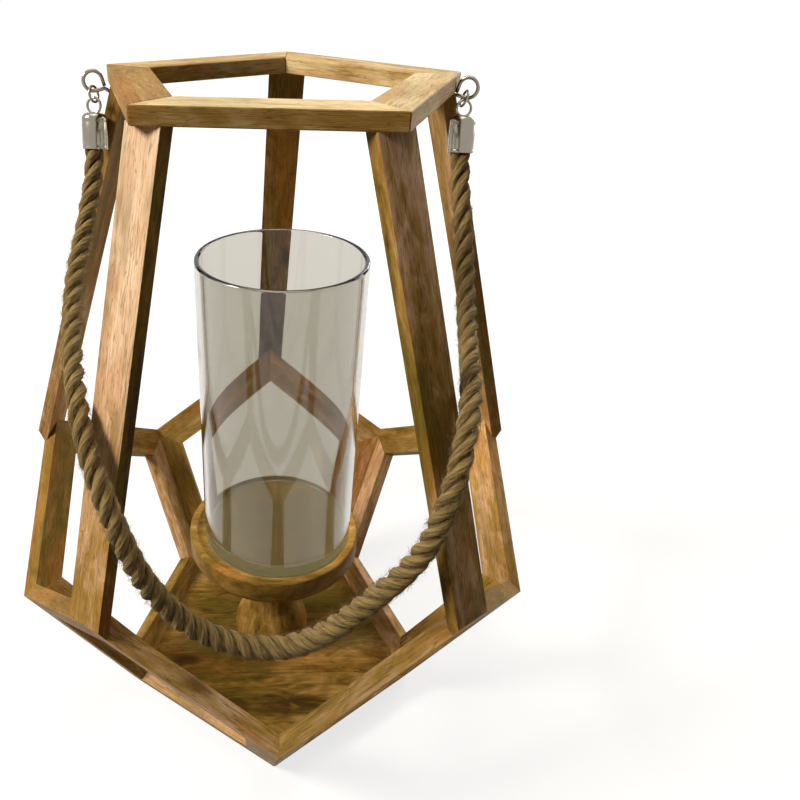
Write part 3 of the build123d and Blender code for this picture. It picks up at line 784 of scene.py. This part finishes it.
class LANTERN_OT_rope(bpy.types.Operator):
    """Lays the three-strand jute rope between its caps"""
    bl_idname = "lantern.rope"
    bl_label = "Jute rope"

    def execute(self, context):
        settings = context.scene.lantern_rope
        line = route_line(ROPE_ROUTE, 16)
        stations = stations_along(line)
        total = stations[-1][1]
        material = jute("jute_three_strand", settings.light, settings.middle, settings.dark)
        rope = self.strands(stations, total, settings, material)
        fibres = self.fibres(stations, total, settings, material)
        return {"FINISHED"}

    @staticmethod
    def swell(share):
        """Thickness of the rope along its length: tight at the caps, slack at the lowest place."""
        middle = math.exp(-((share - 0.5) / 0.17) ** 2)
        return 0.94 + 0.20 * middle

    @staticmethod
    def laid(run, share, settings):
        """Turns of the strands up to here, and turns a metre here: closer where it hangs slack."""
        slack = 0.20                    # half length of the slack stretch, as a share
        extra = 1 / settings.lay - 1 / settings.long_lay
        off = (share - 0.5) / slack
        area = slack * math.sqrt(math.pi) / 2 * math.erf(off)
        turns = run / settings.long_lay + extra * ROPE_LENGTH * area
        return turns, 1 / settings.long_lay + extra * math.exp(-off * off)

    def strand_place(self, station, share, settings, strand):
        """A strand's middle, heading, outward direction and radius at a station of the rope."""
        point, run, along, side, up = station
        diameter = settings.diameter * self.swell(share)
        offset = diameter * STRAND_OFFSET
        turns, rate = self.laid(run, share, settings)
        turn = 2 * math.pi * (turns + strand / 3)
        turn += 0.25 * noise.noise(Vector((run / 0.03, strand * 5.0, 0)))
        out = side * math.cos(turn) + up * math.sin(turn)
        sideways = up * math.cos(turn) - side * math.sin(turn)
        slope = 2 * math.pi * offset * rate
        heading = (along + sideways * slope).normalized()
        return point + out * offset, heading, out, diameter * STRAND_RADIUS

    def strands(self, stations, total, settings, material):
        """Three strands, each with the low ridges and lumps of its yarns."""
        sides = 24
        bm = bmesh.new()
        painted_shade_and_tone_layer = bm.verts.layers.float.new("painted_shade_and_tone")
        yarn_layer = bm.verts.layers.float_vector.new("yarn")
        for strand in range(3):
            rings = []
            for station in stations:
                run = station[1]
                share = run / total
                centre, heading, out, radius = self.strand_place(station, share, settings, strand)
                across = heading.cross(out).normalized()
                ring = []
                for k in range(sides):
                    angle = 2 * math.pi * k / sides
                    away = out * math.cos(angle) + across * math.sin(angle)
                    ridge = math.cos(YARNS * angle - 2 * math.pi * run / YARN_LAY)
                    lump = noise.noise(Vector((run / 0.004, math.cos(angle) * 1.4 + strand * 9,
                                               math.sin(angle) * 1.4)))
                    vertex = bm.verts.new(centre + away * radius * (1 + 0.05 * ridge + 0.10 * lump))
                    # Painted shade: darker on the side that faces the rope's middle and in the yarns'
                    # grooves; painted light on the strand's crown.
                    vertex[painted_shade_and_tone_layer] = 0.5 + 0.42 * math.cos(angle) + 0.10 * ridge
                    vertex[yarn_layer] = Vector((run, angle * radius + strand, 0.0))
                    ring.append(vertex)
                rings.append(ring)
            for here, there in zip(rings, rings[1:]):
                for k in range(sides):
                    bm.faces.new((here[k], here[(k + 1) % sides],
                                  there[(k + 1) % sides], there[k]))
            bm.faces.new(list(reversed(rings[0])))
            bm.faces.new(rings[-1])
        mesh = mesh_from("rope_strands", bm)
        return new_piece("rope_strands", mesh, material, "handle", "jute", "rope")

    def fibres(self, stations, total, settings, material):
        """Loose hairs that lift off the strands, each a thin tapering three-sided spike."""
        pick = random.Random(11)
        bm = bmesh.new()
        painted_shade_and_tone_layer = bm.verts.layers.float.new("painted_shade_and_tone")
        yarn_layer = bm.verts.layers.float_vector.new("yarn")
        inside_caps = 0.020 / total
        hair_radii = (5.5e-5, 4.5e-5, 3.5e-5, 1.2e-5)
        for _ in range(settings.fibres):
            share = pick.uniform(inside_caps, 1 - inside_caps)
            station = stations[int(share * (len(stations) - 1))]
            strand = pick.randrange(3)
            centre, heading, out, radius = self.strand_place(station, share, settings, strand)
            across = heading.cross(out).normalized()
            angle = pick.gauss(0, 0.7)
            away = out * math.cos(angle) + across * math.sin(angle)
            lift = pick.uniform(0.08, 0.9)
            sign = pick.choice((-1, 1))
            slant = pick.uniform(-0.7, 0.7)
            direction = (heading * sign + away * lift + across * slant).normalized()
            hair = pick.uniform(0.0015, 0.0055)
            bend = (away * pick.uniform(-0.6, 0.3) + across * pick.uniform(-0.6, 0.6)) * 0.5
            start = centre + away * radius * 0.96
            points = [start + direction * hair * t + bend * hair * t * t
                      for t in (0, 0.35, 0.7, 1.0)]
            first = len(bm.verts)
            wire(bm, points, hair_radii, sides=3)
            bm.verts.ensure_lookup_table()
            bright = pick.uniform(0.55, 1.1)
            for i in range(first, len(bm.verts)):
                bm.verts[i][painted_shade_and_tone_layer] = bright
                bm.verts[i][yarn_layer] = Vector((share, angle, strand))
        mesh = mesh_from("rope_loose_fibres", bm)
        return new_piece("rope_loose_fibres", mesh, material, "handle", "jute")


# ---- floor, light and camera -------------------------------------------------------------------
LANTERN_MIDDLE = Vector((0, 0, 0.2))


class LANTERN_OT_stage(bpy.types.Operator):
    """Sets the floor, the lights and the camera"""
    bl_idname = "lantern.stage"
    bl_label = "Stage"

    def execute(self, context):
        settings = context.scene.lantern_stage
        self.floor(settings)
        self.world(context.scene, settings)
        self.lights(settings)
        self.camera(context.scene)
        context.scene.view_settings.view_transform = "Standard"
        return {"FINISHED"}

    def floor(self, settings):
        """A wide matt sheet: white where it is seen, grey for the light it throws back up."""
        bm = bmesh.new()
        bmesh.ops.create_circle(bm, cap_ends=True, segments=96, radius=14.0)
        mesh = mesh_from("studio_floor", bm, smooth=False)
        material, tree = new_material("paper_matt_white")
        white = node(tree, "Emission", {"Color": (1, 1, 1, 1), "Strength": 1.0})
        seen = seen_directly(tree)
        tint = node(tree, "Mix", {0: seen, 6: colour(settings.bounce),
                                  7: colour(settings.floor)}, data_type="RGBA").outputs[2]
        paper = node(tree, "BsdfDiffuse", {"Color": tint})
        # Its own white is weaker near the lantern, where the lamps make up the rest, so that the
        # shadow shows, and stronger towards the horizon.
        away = node(tree, "VectorMath", {0: node(tree, "TexCoord").outputs["Object"]},
                    operation="LENGTH").outputs["Value"]
        own_white = node(tree, "MapRange", {
            "Value": away, "From Min": 0.3, "From Max": 1.8, "To Min": 0.76,
            "To Max": 0.98}).outputs[0]
        share = node(tree, "Math", {0: seen, 1: own_white}, operation="MULTIPLY").outputs[0]
        glow = node(tree, "MixShader", {0: share, 2: white.outputs[0]})
        finish_material(tree, node(tree, "AddShader", {0: paper.outputs[0], 1: glow.outputs[0]}))
        mesh.materials.append(material)
        floor = bpy.data.objects.new("studio_floor", mesh)
        floor.location.z = -0.0004
        bpy.context.scene.collection.objects.link(floor)

    def world(self, scene, settings):
        """Even room light, with a pure white backdrop where the room itself is seen."""
        world = bpy.data.worlds.new("studio_room")
        world.use_nodes = True
        tree = world.node_tree
        tree.nodes.clear()
        room = node(tree, "Background", {"Color": (1.0, 0.93, 0.80, 1), "Strength": settings.sky})
        white = node(tree, "Background", {"Color": (1, 1, 1, 1), "Strength": 1.0})
        mix = node(tree, "MixShader", {0: seen_directly(tree), 1: room.outputs[0],
                                       2: white.outputs[0]})
        node(tree, "OutputWorld", {"Surface": mix.outputs[0]})
        scene.world = world

    def lights(self, settings):
        """Three square lamps, all aimed at the lantern's middle: place, size and power of each."""
        aims = {
            "key_left": ((-1.50, -0.45, 1.45), 0.6, settings.key),
            "lamp_above": ((-0.1, 0.1, 1.75), 0.9, settings.key * 0.16),
            "fill_back_right": ((1.35, 1.20, 0.85), 1.3, settings.key * 0.50),
        }
        for name, (place, size, power) in aims.items():
            lamp = bpy.data.lights.new(name, "AREA")
            lamp.size = size
            lamp.energy = power
            lamp.color = (1.0, 0.965, 0.93)
            holder = bpy.data.objects.new(name, lamp)
            holder.location = place
            look = LANTERN_MIDDLE - Vector(place)
            holder.rotation_euler = look.to_track_quat("-Z", "Y").to_euler()
            bpy.context.scene.collection.objects.link(holder)

    def camera(self, scene):
        """Eye level above the lantern, a little left of its middle, looking down at it."""
        lens = bpy.data.cameras.new("camera")
        lens.sensor_width = 36.0
        lens.lens = 34.656
        lens.shift_x = 0.1569
        lens.shift_y = -0.0024
        lens.clip_start = 0.01
        lens.clip_end = 60.0
        eye = bpy.data.objects.new("camera", lens)
        eye.location = (-0.01285, -0.4214, 0.4778)
        pitch, yaw, roll = math.radians(90 - 30.989), math.radians(-1.747), math.radians(0.779)
        turn = Matrix.Rotation(yaw, 4, "Z") @ Matrix.Rotation(pitch, 4, "X")
        eye.rotation_euler = (turn @ Matrix.Rotation(roll, 4, "Z")).to_euler()
        scene.collection.objects.link(eye)
        scene.camera = eye


# ---- panel and registration --------------------------------------------------------------------
PIECES = (LANTERN_OT_stage, LANTERN_OT_rope, LANTERN_OT_timber, LANTERN_OT_turnery,
          LANTERN_OT_hidden, LANTERN_OT_glass, LANTERN_OT_fittings)
SETTINGS = {"lantern_timber": LanternTimber, "lantern_glass": LanternGlass,
            "lantern_fittings": LanternFittings, "lantern_rope": LanternRope,
            "lantern_stage": LanternStage}


class LANTERN_PT_panel(bpy.types.Panel):
    """Lists the lantern's pieces with their sizes and colours"""
    bl_idname = "LANTERN_PT_panel"
    bl_label = "Lantern"
    bl_space_type = "VIEW_3D"
    bl_region_type = "UI"
    bl_category = "Lantern"

    def draw(self, context):
        for piece in PIECES:
            self.layout.operator(piece.bl_idname, text=piece.bl_label)
        for name in SETTINGS:
            group = getattr(context.scene, name)
            box = self.layout.box()
            box.label(text=name.replace("lantern_", "").capitalize())
            for prop in group.bl_rna.properties:
                if prop.identifier not in ("rna_type", "name"):
                    box.prop(group, prop.identifier)


CLASSES = (*SETTINGS.values(), *PIECES, LANTERN_PT_panel)


def register():
    for cls in CLASSES:
        bpy.utils.register_class(cls)
    for name, group in SETTINGS.items():
        setattr(bpy.types.Scene, name, bpy.props.PointerProperty(type=group))


def unregister():
    for name in SETTINGS:
        delattr(bpy.types.Scene, name)
    for cls in reversed(CLASSES):
        bpy.utils.unregister_class(cls)


def main():
    register()
    bpy.ops.lantern.stage()
    bpy.ops.lantern.rope()
    bpy.ops.lantern.timber()
    bpy.ops.lantern.turnery()
    bpy.ops.lantern.hidden()
    bpy.ops.lantern.glass()
    bpy.ops.lantern.fittings()
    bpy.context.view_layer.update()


if __name__ == "__main__":
    main()
